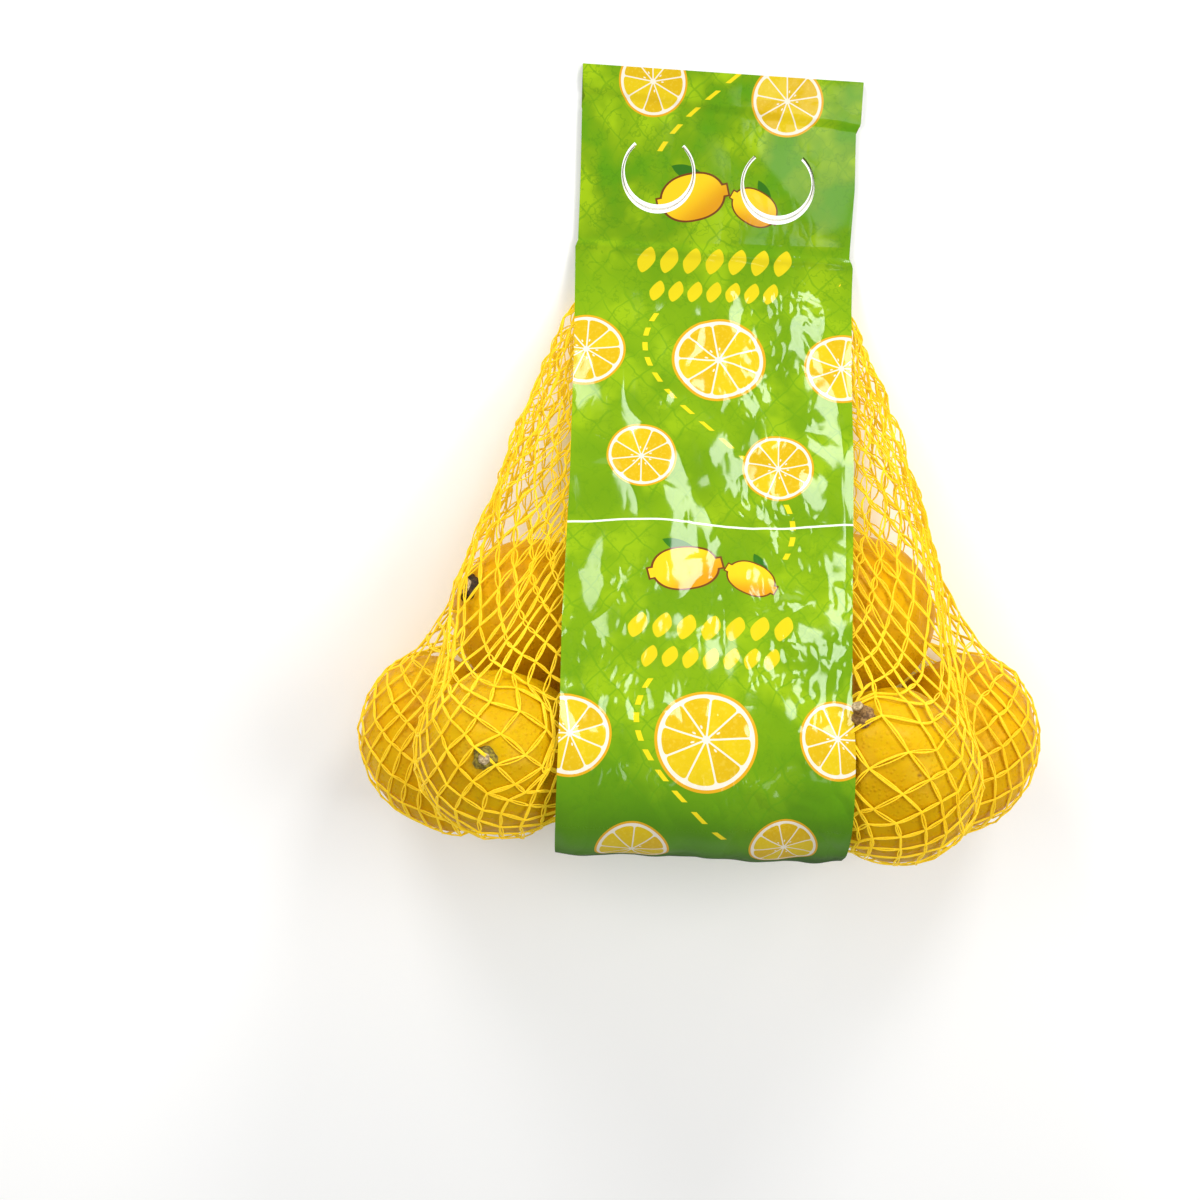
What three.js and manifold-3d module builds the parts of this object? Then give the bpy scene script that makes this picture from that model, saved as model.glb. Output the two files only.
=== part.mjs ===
// A net of lemons, lying on its back: a printed film label goes round a knitted net tube.
// Millimetres, +Z up. X runs across the label and Y along it, rising towards the header.
// The shapes are drawn with Y = 0 at the header's top edge and Z = 0 at the floor, and
// the whole group is then moved so that its origin is at the middle of its underside.
import * as THREE from 'three';
import { mergeVertices } from 'three/addons/utils/BufferGeometryUtils.js';
import Module from 'manifold-3d';

const wasm = await Module();
wasm.setup();

// ---- driving dimensions ----
const GAP = 0.3;                 // clear space between the label and the net
const LABEL_WIDTH = 102;
const FILM = 0.6;                // thickness of the label's solid
const SEAM_LENGTH = 14;          // folded and welded strip along the header's top edge
const SEAM_RISE = 0.5;           // how far that strip stands above the header
const HEADER_LENGTH = 62;        // flat part of the label, with the carrying slits
const NET_SHEET = 0.8;           // thickness of the net where the header holds it flat
const NET_HEADER_WIDTH = 97;
const CURVE_STEP = 3.2;          // spacing of points along the label's curved stretch

// Height of the label's inner face, from the header over the lemons and round under them.
const HEADER_Z = FILM + GAP + NET_SHEET + GAP;
const LABEL_SLOPE = [
  [-HEADER_LENGTH, HEADER_Z], [-80, 6.2], [-101, 18], [-130, 36], [-160, 55.5], [-190, 78],
  [-217, 100], [-233, 109.5], [-246, 112.2], [-256, 109.5], [-264, 101.5], [-269.5, 89],
  [-273.2, 72], [-274.6, 52], [-273.8, 30], [-270.5, 13], [-262.5, 3.6], [-250, FILM],
];

// Carrying slits: two C-shaped cuts, open upwards, each leaving a tongue in the header.
const SLIT_CENTRES = [[-22, -36.6], [22.2, -39.2]];
const SLIT_RADIUS = 13.1;
const SLIT_WIDTH = 2.8;          // at the bottom of the C; it tapers to its tips
const SLIT_TIP_SHARE = 0.25;     // width of the tips as a share of that
const SLIT_OPENING = THREE.MathUtils.degToRad(84);

// Lemons inside the net, which give it its bulges: centre, the way the stem points,
// radius and half length of the body.
const LEMONS = [
  { at: [65, -241.5, 84.5], stem: [-0.42, 0.73, 0.55], radius: 29.5, half: 32.5 },  // front right
  { at: [-71, -238, 83.5], stem: [-0.12, 0.16, 1], radius: 29, half: 31.5 },        // front left
  { at: [95.5, -241, 31.5], stem: [0.3, 0.86, -0.42], radius: 29, half: 33 },       // rear right
  { at: [53, -194.5, 33.5], stem: [-0.75, 0.2, 0.63], radius: 30.5, half: 33 },     // upper right
  { at: [-60.5, -200, 32], stem: [-0.76, 0.57, 0.3], radius: 30, half: 32.5 },      // upper left
  { at: [-97, -246, 30.5], stem: [-0.3, 0.8, -0.5], radius: 28, half: 32 },         // rear left
  { at: [3, -245.5, 28.6], stem: [-1, -0.15, 0.1], radius: 26.5, half: 33 },          // rear middle
  { at: [-3, -238.5, 82.5], stem: [1, 0.1, 0], radius: 27, half: 31 },                // front middle
].map((lemon) => ({
  ...lemon,
  at: new THREE.Vector3(...lemon.at),
  stem: new THREE.Vector3(...lemon.stem).normalize(),
}));
const NIPPLE = { height: 5.5, spread: 0.3 };     // at the blossom end, spread in radians
const NECK = { height: 1.5, spread: 0.35 };      // round the stem
const NET_OVER_SKIN = 1.1;                       // net's outer face above a lemon's skin

// The net tube: rings of knots, pinned flat in the header and gathered at the bottom.
const COLUMNS = 48;
const HEADER_ROWS = 5;
const BODY_ROWS = 40;
const GATHER = { y: -270, z: 36, width: 88, thickness: 1.6 };
const BAR = 10.6;                // longest that a strand between two knots can be
const RELAX_STEPS = 160;
const RELAX_RATE = 0.25;
const BAR_RATE = 0.3;            // share of a strand's excess length taken up in a step
const DRAW_IN = 0.08;            // how hard the net pulls in between the lemons, a step
const DRAW_FROM_TO = [0.35, 0.7]; // shares of the body's rows where that pull sets in
const EDGE_MARGIN = 3;           // strip beside the label where the net stays below the film
const BESIDE_LABEL = 16;         // past that strip, as far as the film still holds the net down
const BESIDE_RISE = 0.2;         // rise of the net above the film there, by distance
const FILM_OFF_NET = 1;          // how far the film stands off the net's strands
const OPENING_LENGTH = 60;       // length past the header over which it comes off them
const NET_OUTLINE = [             // half width of the net at a Y, before it draws in
  [-HEADER_LENGTH, NET_HEADER_WIDTH / 2], [-84, 53], [-171, 94], [-214, 112], [-240, 128], [-272, 118],
];
const NET_TOP = [                 // and its height there
  [-HEADER_LENGTH, HEADER_Z], [-107, 19], [-167, 66], [-213, 113], [-240, 119], [-272, 112],
];

const green = new THREE.MeshStandardMaterial({ color: 0x7fb411, roughness: 0.25, metalness: 0 });
const yellow = new THREE.MeshStandardMaterial({ color: 0xf3c81e, roughness: 0.6, metalness: 0 });

// ---- label ----

// Points (Y, Z) of the inner face between the header and the flat stretch on the floor.
function labelSlopePoints() {
  const curve = new THREE.SplineCurve(LABEL_SLOPE.map(([y, z]) => new THREE.Vector2(y, z)));
  return curve.getSpacedPoints(Math.round(curve.getLength() / CURVE_STEP));
}

const labelInside = [
  new THREE.Vector2(-SEAM_LENGTH, HEADER_Z),
  ...labelSlopePoints(),
  new THREE.Vector2(-SEAM_LENGTH, FILM),
];

// Moves an open outline sideways by a distance, to the left of its direction if positive.
function offsetOutline(points, distance) {
  return points.map((point, i) => {
    const before = points[Math.max(i - 1, 0)];
    const after = points[Math.min(i + 1, points.length - 1)];
    const along = after.clone().sub(before).normalize();
    return new THREE.Vector2(point.x - along.y * distance, point.y + along.x * distance);
  });
}

// Builds a solid from an outline in (Y, Z), drawn out along X between two ends.
function drawAcross(outline, width) {
  const geometry = new THREE.ExtrudeGeometry(outline, { depth: width, bevelEnabled: false, steps: 1 });
  const turn = new THREE.Matrix4().set(0, 0, 1, -width / 2, 1, 0, 0, 0, 0, 1, 0, 0, 0, 0, 0, 1);
  return geometry.applyMatrix4(turn);
}

function labelGeometry() {
  const slope = labelSlopePoints();
  const outer = offsetOutline(slope, -FILM).filter((point) => point.y > 0);
  const shape = new THREE.Shape([
    new THREE.Vector2(0, 0),
    new THREE.Vector2(0, HEADER_Z + FILM + SEAM_RISE),
    new THREE.Vector2(-SEAM_LENGTH + 1, HEADER_Z + FILM + SEAM_RISE),
    new THREE.Vector2(-SEAM_LENGTH, HEADER_Z + FILM),
    ...outer,
    new THREE.Vector2(LABEL_SLOPE.at(-1)[0], 0),
  ]);
  shape.holes.push(new THREE.Path(labelInside));
  return drawAcross(shape, LABEL_WIDTH);
}

// A thin upright wall in the form of one carrying slit, to be cut out of what it meets.
function slitGeometry([x, y]) {
  const steps = 40;
  const first = Math.PI / 2 + SLIT_OPENING / 2;
  const sweep = 2 * Math.PI - SLIT_OPENING;
  const side = (sign) => Array.from({ length: steps + 1 }, (_, i) => {
    const share = i / steps;
    const angle = first + sweep * share;
    const half = SLIT_WIDTH / 2 * Math.max(Math.sin(Math.PI * share) ** 2, SLIT_TIP_SHARE);
    const radius = SLIT_RADIUS + sign * half;
    return new THREE.Vector2(x + radius * Math.cos(angle), y + radius * Math.sin(angle));
  });
  const shape = new THREE.Shape([...side(1), ...side(-1).reverse()]);
  const depth = 4 * HEADER_Z;
  return new THREE.ExtrudeGeometry(shape, { depth, bevelEnabled: false }).translate(0, 0, -HEADER_Z);
}

// ---- net ----

// Distance from a lemon's centre to its skin, at an angle from the way its stem points.
function skinDistance(lemon, angle) {
  const body = 1 / Math.hypot(Math.cos(angle) / lemon.half, Math.sin(angle) / lemon.radius);
  const nipple = NIPPLE.height * Math.exp(-(((Math.PI - angle) / NIPPLE.spread) ** 2));
  const neck = NECK.height * Math.exp(-((angle / NECK.spread) ** 2));
  return body + nipple + neck;
}

function pushOutOfLemons(knot) {
  const push = new THREE.Vector3();
  for (const lemon of LEMONS) {
    const out = knot.clone().sub(lemon.at);
    const reach = skinDistance(lemon, out.angleTo(lemon.stem)) + NET_OVER_SKIN;
    const depth = reach - out.length();
    if (depth > 0) push.addScaledVector(out.normalize(), depth);
  }
  knot.add(push);
}

// Keeps a knot between the label's edges on the inner side of its film. Beside the edges
// the net may rise past the film, the further out the more.
function keepInsideLabel(knot) {
  const beside = Math.max(Math.abs(knot.x) - LABEL_WIDTH / 2 - EDGE_MARGIN, 0);
  if (beside > BESIDE_LABEL) return;
  let nearest = Infinity;
  const inward = new THREE.Vector2();
  const point = new THREE.Vector2(knot.y, knot.z);
  for (let i = 0; i + 1 < labelInside.length; i++) {
    const along = labelInside[i + 1].clone().sub(labelInside[i]);
    const length = along.length();
    along.divideScalar(length);
    const share = THREE.MathUtils.clamp(point.clone().sub(labelInside[i]).dot(along), 0, length);
    const foot = labelInside[i].clone().addScaledVector(along, share);
    const inner = new THREE.Vector2(-along.y, along.x);
    const away = point.clone().sub(foot);
    if (away.length() > Math.abs(nearest)) continue;
    nearest = away.length() * Math.sign(away.dot(inner) || 1);
    inward.copy(inner);
  }
  const open = THREE.MathUtils.smoothstep(-knot.y, HEADER_LENGTH, HEADER_LENGTH + OPENING_LENGTH);
  const short = GAP + FILM_OFF_NET * open - BESIDE_RISE * beside - nearest;
  if (short > 0) {
    knot.y += inward.x * short;
    knot.z += inward.y * short;
  }
}

// A flattened ring of knots at one Y.
function flatRing(row, y, z, width, thickness) {
  return Array.from({ length: COLUMNS }, (_, column) => {
    const turn = 2 * Math.PI * (column + (row % 2) / 2) / COLUMNS;
    const side = Math.sign(Math.sin(turn)) * Math.abs(Math.sin(turn)) ** 0.3;
    return new THREE.Vector3(width / 2 * Math.cos(turn), y, z + thickness / 2 * side);
  });
}

// Reads a value off a line drawn through a few (Y, value) points.
function along(line, y) {
  const next = Math.max(line.findIndex(([at]) => at < y), 1);
  const [[y0, v0], [y1, v1]] = [line[next - 1], line[next]];
  return THREE.MathUtils.mapLinear(y, y0, y1, v0, v1);
}

// A wide ring round the whole pile, from which the net draws in.
function wideRing(row, share) {
  const y = THREE.MathUtils.lerp(-HEADER_LENGTH, GATHER.y, share);
  const low = FILM + GAP;
  return Array.from({ length: COLUMNS }, (_, column) => {
    const turn = 2 * Math.PI * (column + (row % 2) / 2) / COLUMNS;
    const x = along(NET_OUTLINE, y) * Math.cos(turn);
    const z = THREE.MathUtils.lerp(low, along(NET_TOP, y), (1 + Math.sin(turn)) / 2);
    return new THREE.Vector3(x, y, z);
  });
}

function netRings() {
  const rings = [];
  const middle = FILM + GAP + NET_SHEET / 2;
  const start = -SEAM_LENGTH - GAP;
  for (let row = 0; row <= HEADER_ROWS; row++) {
    const y = THREE.MathUtils.lerp(start, -HEADER_LENGTH, row / HEADER_ROWS);
    rings.push(flatRing(row, y, middle, NET_HEADER_WIDTH, NET_SHEET));
  }
  for (let row = 1; row < BODY_ROWS; row++) {
    rings.push(wideRing(HEADER_ROWS + row, row / BODY_ROWS));
  }
  const { y, z, width, thickness } = GATHER;
  rings.push(flatRing(HEADER_ROWS + BODY_ROWS, y, z, width, thickness));
  return rings;
}

// Lets every free knot settle between its four neighbours, outside the lemons.
function relax(rings) {
  const last = rings.length - 1;
  for (let step = 0; step < RELAX_STEPS; step++) {
    const before = rings.map((ring) => ring.map((knot) => knot.clone()));
    for (let row = HEADER_ROWS + 1; row < last; row++) {
      const shift = row % 2 === 0 ? -1 : 0;
      const drawShare = THREE.MathUtils.smoothstep((row - HEADER_ROWS) / BODY_ROWS, ...DRAW_FROM_TO);
      const heart = before[row].reduce((sum, knot) => sum.add(knot), new THREE.Vector3());
      heart.divideScalar(COLUMNS);
      rings[row].forEach((knot, column) => {
        const left = (column + shift + COLUMNS) % COLUMNS;
        const right = (left + 1) % COLUMNS;
        for (const near of [before[row - 1], before[row + 1]]) {
          for (const end of [near[left], near[right]]) {
            const strand = end.clone().sub(before[row][column]);
            const excess = Math.max(strand.length() - BAR, 0);
            knot.addScaledVector(strand, RELAX_RATE / 4 + BAR_RATE * excess / strand.length());
          }
        }
        const pull = heart.clone().sub(knot).setY(0);
        knot.addScaledVector(pull.normalize(), DRAW_IN * drawShare);
        pushOutOfLemons(knot);
        keepInsideLabel(knot);
        knot.z = Math.max(knot.z, GAP);
      });
    }
  }
  return rings;
}

// Closes the rings into one solid: a skin of triangles between them and a flat cap at each end.
function netGeometry() {
  const rings = relax(netRings());
  const position = rings.flat().flatMap((knot) => knot.toArray());
  const index = [];
  const at = (row, column) => row * COLUMNS + (column + COLUMNS) % COLUMNS;
  for (let row = 0; row + 1 < rings.length; row++) {
    const shift = row % 2 === 0 ? 0 : 1;
    for (let column = 0; column < COLUMNS; column++) {
      index.push(at(row, column), at(row, column + 1), at(row + 1, column + shift));
      index.push(at(row + 1, column + shift - 1), at(row, column), at(row + 1, column + shift));
    }
  }
  for (const [row, turned] of [[0, false], [rings.length - 1, true]]) {
    for (let column = 1; column + 1 < COLUMNS; column++) {
      const pair = [at(row, column), at(row, column + 1)];
      index.push(at(row, 0), ...(turned ? pair : pair.reverse()));
    }
  }
  const geometry = new THREE.BufferGeometry();
  geometry.setAttribute('position', new THREE.Float32BufferAttribute(position, 3));
  geometry.setIndex(index);
  return geometry;
}

// ---- joining and cutting ----

function solidOf(geometry) {
  geometry.deleteAttribute('normal');
  geometry.deleteAttribute('uv');
  const merged = mergeVertices(geometry, 1e-4);
  const vertProperties = new Float32Array(merged.getAttribute('position').array);
  const triVerts = new Uint32Array(merged.getIndex().array);
  return new wasm.Manifold(new wasm.Mesh({ numProp: 3, vertProperties, triVerts }));
}

function geometryOf(solid) {
  const mesh = solid.getMesh();
  const geometry = new THREE.BufferGeometry();
  geometry.setAttribute('position', new THREE.Float32BufferAttribute(mesh.vertProperties, 3));
  geometry.setIndex(new THREE.BufferAttribute(mesh.triVerts, 1));
  geometry.computeVertexNormals();
  return geometry;
}

function cutSlits(geometry) {
  return SLIT_CENTRES.reduce(
    (solid, centre) => solid.subtract(solidOf(slitGeometry(centre))), solidOf(geometry));
}

function namedMesh(name, solid, material) {
  const mesh = new THREE.Mesh(geometryOf(solid), material);
  mesh.name = name;
  return mesh;
}

// ---- the whole ----

const group = new THREE.Group();
group.add(
  namedMesh('net_of_lemons', cutSlits(netGeometry()), yellow),
  namedMesh('film_label', cutSlits(labelGeometry()), green),
);
const box = new THREE.Box3().setFromObject(group);
const middle = box.getCenter(new THREE.Vector3());
group.position.set(-middle.x, -middle.y, -box.min.z);
group.updateMatrixWorld(true);

export default group;
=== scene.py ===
import itertools
import math
import random

import bpy
import numpy as np
from mathutils import Matrix, Vector, noise
from mathutils.geometry import delaunay_2d_cdt


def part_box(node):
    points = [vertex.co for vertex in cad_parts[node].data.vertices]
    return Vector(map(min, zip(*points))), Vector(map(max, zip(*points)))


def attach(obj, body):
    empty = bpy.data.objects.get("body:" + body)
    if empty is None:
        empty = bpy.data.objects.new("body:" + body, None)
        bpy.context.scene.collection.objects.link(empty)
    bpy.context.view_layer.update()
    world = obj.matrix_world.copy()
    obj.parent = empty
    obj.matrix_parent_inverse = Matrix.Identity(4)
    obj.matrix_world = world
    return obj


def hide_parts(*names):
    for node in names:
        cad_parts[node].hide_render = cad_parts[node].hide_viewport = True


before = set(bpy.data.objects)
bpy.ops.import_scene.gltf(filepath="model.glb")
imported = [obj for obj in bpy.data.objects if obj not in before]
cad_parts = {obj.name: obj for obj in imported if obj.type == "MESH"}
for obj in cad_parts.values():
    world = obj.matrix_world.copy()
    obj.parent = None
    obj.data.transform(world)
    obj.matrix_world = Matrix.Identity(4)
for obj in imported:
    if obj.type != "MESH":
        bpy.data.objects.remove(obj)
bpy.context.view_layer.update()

# A net of lemons lying on its back. Lengths are in millimetres, drawn with X = 0 on the
# label's centreline, Y = 0 at the header's top edge and Z = 0 on the floor; in_frame()
# takes them to the shared frame in metres.
MM = 0.001
label_low, label_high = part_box("film_label")
HEADER_MIDDLE = np.array([(label_low.x + label_high.x) / 2, label_high.y, 0.0])


def in_frame(points):
    return np.asarray(points, float) * MM + HEADER_MIDDLE


# ---- sizes shared with the solids ----
GAP = 0.3
LABEL_WIDTH = 102.0
FILM = 0.6
SEAM_LENGTH = 14.0
HEADER_LENGTH = 62.0
NET_SHEET = 0.8
NET_HEADER_WIDTH = 97.0
HEADER_Z = FILM + GAP + NET_SHEET + GAP
LABEL_SLOPE = np.array([
    [-HEADER_LENGTH, HEADER_Z], [-80, 6.2], [-101, 18], [-130, 36], [-160, 55.5], [-190, 78],
    [-217, 100], [-233, 109.5], [-246, 112.2], [-256, 109.5], [-264, 101.5], [-269.5, 89],
    [-273.2, 72], [-274.6, 52], [-273.8, 30], [-270.5, 13], [-262.5, 3.6], [-250, FILM],
])
SLIT_CENTRES = [(-22.0, -36.6), (22.2, -39.2)]
SLIT_RADIUS = 13.1
SLIT_WIDTH = 2.8
SLIT_TIP_SHARE = 0.25
SLIT_OPENING = math.radians(84)

# name: (centre, the way the stem points, radius, half length); the upper left one is turned
# a little more to the front than in the solids, so that its stem end shows
LEMONS = {
    "front_right": ((65, -241.5, 84.5), (-0.42, 0.73, 0.55), 29.5, 32.5),
    "front_left": ((-71, -238, 83.5), (-0.12, 0.16, 1), 29, 31.5),
    "rear_right": ((95.5, -241, 31.5), (0.3, 0.86, -0.42), 29, 33),
    "upper_right": ((53, -194.5, 33.5), (-0.75, 0.2, 0.63), 30.5, 33),
    "upper_left": ((-60.5, -200, 32), (-0.76, 0.42, 0.5), 30, 32.5),
    "rear_left": ((-97, -246, 30.5), (-0.3, 0.8, -0.5), 28, 32),
    "rear_middle": ((3, -245.5, 28.6), (-1, -0.15, 0.1), 26.5, 33),
    "front_middle": ((-3, -238.5, 82.5), (1, 0.1, 0), 27, 31),
}
NIPPLE_HEIGHT, NIPPLE_SPREAD = 5.5, 0.3
NECK_HEIGHT, NECK_SPREAD = 1.5, 0.35

COLUMNS = 48
HEADER_ROWS = 5
BODY_ROWS = 40
GATHER_Y, GATHER_Z, GATHER_WIDTH, GATHER_THICKNESS = -270.0, 36.0, 88.0, 1.6
BAR = 10.6
RELAX_STEPS = 160
RELAX_RATE = 0.25
BAR_RATE = 0.3
DRAW_IN = 0.08
DRAW_FROM, DRAW_TO = 0.35, 0.7
EDGE_MARGIN = 3.0
BESIDE_LABEL = 16.0
BESIDE_RISE = 0.2
FILM_OFF_NET = 1.0
OPENING_LENGTH = 60.0
NET_OUTLINE = [(-HEADER_LENGTH, NET_HEADER_WIDTH / 2), (-84, 53), (-171, 94), (-214, 112),
               (-240, 128), (-272, 118)]
NET_TOP = [(-HEADER_LENGTH, HEADER_Z), (-107, 19), (-167, 66), (-213, 113), (-240, 119),
           (-272, 112)]

# ---- sizes of what is only modelled here ----
MESH_COLUMNS = 62                # meshes round the net as it is knitted
MESH_ROWS = 46                   # and along it, past the header
MESH_BAR = 9.0                   # longest bar between two knots
SHORT_BAR = 6.5                  # a bar below this springs back
SPRING_RATE = 0.05               # by this share of what it lacks, in a step
EVENINGS = 6
SETTLE_STEPS = 14
JOLT_STEP = 9                    # the settling step that throws the knots about a little
JOLT, JOLT_IF_SLACK = 0.9, 0.5   # by how much, and how much more where the net is slack
DRAWN_TAUT = 0.055               # how much wider the net stays between header and fruit
SLACK_SAG = 1.6                  # how much more a slack bar bends sideways
SLACK_STARTS, SLACK_ENDS = (70, 105), (150, 200)  # how far down the bag
TOP_TIGHTER, SIDE_TIGHTER = 0.55, 0.35  # how much closer the meshes lie over the lower lemons
TIGHTER_DOWN, TIGHTER_UP, TIGHTER_OUT = (195, 215), (70, 100), (85, 110)  # where they do
YARN_RADIUS = 0.27
YARN_PAIR_SPREAD = 0.36          # half the gap between the two filaments of a bar
YARN_PAIR_VARIES = (0.35, 1.5)   # times that
YARN_PAIR_AT_KNOT = 0.1
YARN_WEAVE = 0.2                 # rise and fall where two bars cross in a knot
YARN_OVER_SKIN = 0.66            # from the peel to a filament's centreline
POINTS_PER_BAR = 4
FILAMENTS = [("outer", 1, 0.25), ("inner", -1, 0.25), ("slack", 0, 0.7)]  # side and how loose
FILM_SHEET = 0.12                # thickness of the film itself
FILM_GRID = 1.25                 # spacing of the film's points on its front
FILM_BACK_GRID = 5.0
FILM_COLUMNS = int(round(LABEL_WIDTH / FILM_GRID))
INNER_GRID = 3.2                 # spacing of points on the line that holds the net in
FLAT_STEPS = 8                   # points at the end of the slope that lie on the floor
FILM_ON_FLOOR = 0.1
SEAM_RELIEF = 0.5
SLIT_STEPS = 40
# on the back sheet the white reaches twice as far and glows: painted light under the slits
SLIT_STRETCH = 0.2               # how far the film is stretched white beside a slit
SLIT_SHEETS = [(0.0, 1.3, 10.0), (0.9, -2.0, 1.3)]  # front and back: narrower by, low and high Z
TOP_SLANT, SLANT_LENGTH = 1.8, 60.0  # how far the header's top corners lie off its middle
UV_SPAN = 660.0                  # length in millimetres that fills the film's UV square
LEMON_RINGS, LEMON_STEPS = 34, 56
STEM_DIMPLE, DIMPLE_SPREAD = 1.6, 0.11
STEM_STEPS, LOBES, LOBE_DEPTH = 25, 5, 0.13
# lumps of a surface: (name, size and strength in metres, middle level)
BROAD_LUMPS = ("broad_lumps", 0.022, 0.0019, 0.72)
SMALL_LUMPS = ("small_lumps", 0.006, 0.0005, 0.6)
BARK_LUMPS = ("bark_lumps", 0.0016, 0.0009, 0.5)


# ---- small helpers ----

def smoothstep(value, low, high):
    share = np.clip((value - low) / (high - low), 0, 1)
    return share * share * (3 - 2 * share)


def tent(value, width):
    """Falls from 1 at 0 to 0 at a width on either side."""
    return np.clip(1 - np.abs(value) / width, 0, 1)


def lengths(vectors):
    return np.linalg.norm(vectors, axis=-1, keepdims=True)


def unit(vectors):
    return vectors / (lengths(vectors) + 1e-9)


def deselect():
    bpy.ops.object.select_all(action="DESELECT")


def pick(piece):
    deselect()
    piece.select_set(True)
    bpy.context.view_layer.objects.active = piece


def settle(piece):
    """Puts the piece's place into its mesh and leaves the object at the origin."""
    pick(piece)
    bpy.ops.object.transform_apply(location=True, rotation=True, scale=True)


def apply_modifiers(piece):
    pick(piece)
    for modifier in list(piece.modifiers):
        bpy.ops.object.modifier_apply(modifier=modifier.name)


def add_object(name, data):
    made = bpy.data.objects.new(name, data)
    bpy.context.scene.collection.objects.link(made)
    return made


def edit(kind, action="SELECT"):
    """Goes to edit mode with all or none of the active mesh selected."""
    bpy.ops.object.mode_set(mode="EDIT")
    bpy.ops.mesh.select_mode(type=kind)
    bpy.ops.mesh.select_all(action=action)


def face_outward():
    """Turns every face outward and leaves edit mode."""
    bpy.ops.mesh.select_all(action="SELECT")
    bpy.ops.mesh.normals_make_consistent(inside=False)
    bpy.ops.object.mode_set(mode="OBJECT")


def hand_over(piece, material, node):
    if material is not None:
        piece.data.materials.clear()
        piece.data.materials.append(material)
    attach(piece, "root")
    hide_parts(node)


# ---- shader building ----

def math_node(operation, turned_round=False):
    """A method of Wire that puts it, and what it is given, through a Math node."""
    if turned_round:
        return lambda wire, other: wire.math(operation, other, wire)
    return lambda wire, *others: wire.math(operation, wire, *others)


class Wire:
    """One output of a shader node. Arithmetic on wires adds Math nodes."""

    def __init__(self, finish, socket):
        self.finish = finish
        self.socket = socket

    def math(self, operation, *values):
        return self.finish.node("Math", values, operation=operation)

    __add__ = __radd__ = math_node("ADD")
    __mul__ = __rmul__ = math_node("MULTIPLY")
    __sub__ = math_node("SUBTRACT")
    __rsub__ = math_node("SUBTRACT", turned_round=True)
    __truediv__ = math_node("DIVIDE")
    __lt__ = math_node("LESS_THAN")
    __gt__ = math_node("GREATER_THAN")
    power = math_node("POWER")
    absolute = math_node("ABSOLUTE")
    sine = math_node("SINE")
    fraction = math_node("FRACT")
    larger = math_node("MAXIMUM")
    smaller = math_node("MINIMUM")

    def fade(self, low, high, start=0.0, end=1.0):
        """Goes smoothly from start to end as the value goes from low to high."""
        return self.finish.node("MapRange", {
            "Value": self, "From Min": low, "From Max": high, "To Min": start, "To Max": end},
            interpolation_type="SMOOTHSTEP")


class Finish:
    """A material under construction, with its Principled shader."""

    def __init__(self, name, **constants):
        self.material = bpy.data.materials.new(name)
        self.material.use_nodes = True
        self.tree = self.material.node_tree
        self.shader = next(n for n in self.tree.nodes if n.type == "BSDF_PRINCIPLED")
        for socket, value in constants.items():
            self.shader.inputs[socket.replace("_", " ")].default_value = value

    def node(self, kind, inputs=(), output=0, **settings):
        made = self.tree.nodes.new("ShaderNode" + kind)
        for name, value in settings.items():
            setattr(made, name, value)
        pairs = inputs.items() if isinstance(inputs, dict) else enumerate(inputs)
        for key, value in pairs:
            self.feed(made.inputs[key], value)
        return Wire(self, made.outputs[output])

    def feed(self, socket, value):
        if isinstance(value, Wire):
            self.tree.links.new(value.socket, socket)
        else:
            socket.default_value = value

    def vector(self, operation, *values, output=0):
        return self.node("VectorMath", values, output, operation=operation)

    def scaled(self, vector, factor):
        return self.node("VectorMath", {"Vector": vector, "Scale": factor}, operation="SCALE")

    def length(self, vector):
        return self.vector("LENGTH", vector, output="Value")

    def parts(self, vector):
        made = self.node("SeparateXYZ", [vector]).socket.node
        return [Wire(self, output) for output in made.outputs]

    def point(self, x, y):
        return self.node("CombineXYZ", [x, y])

    def mix(self, share, first, second):
        return self.node("Mix", {0: share, 6: colour(first), 7: colour(second)}, 2,
                         data_type="RGBA")

    def place(self):
        return self.node("TexCoord", (), "Object")

    def cloud(self, vector, scale, detail=2.0, roughness=0.5):
        return self.node("TexNoise", {
            "Vector": vector, "Scale": scale, "Detail": detail, "Roughness": roughness})

    def bump(self, height, distance, strength=1.0, below=None):
        inputs = {"Height": height, "Distance": distance, "Strength": strength}
        if below is not None:
            inputs["Normal"] = below
        return self.node("Bump", inputs)

    def finish(self, **wires):
        self.material.cycles.emission_sampling = "NONE"
        for socket, value in wires.items():
            self.feed(self.shader.inputs[socket.replace("_", " ")], value)
        return self.material


def colour(value):
    """A hex colour as it is seen on a screen, for a colour socket. Wires pass through."""
    if not isinstance(value, str):
        return value
    parts = [int(value[i:i + 2], 16) / 255 for i in (0, 2, 4)]
    return [p / 12.92 if p <= 0.04045 else ((p + 0.055) / 1.055) ** 2.4 for p in parts] + [1.0]


# ---- lemon peel and stems ----

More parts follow.
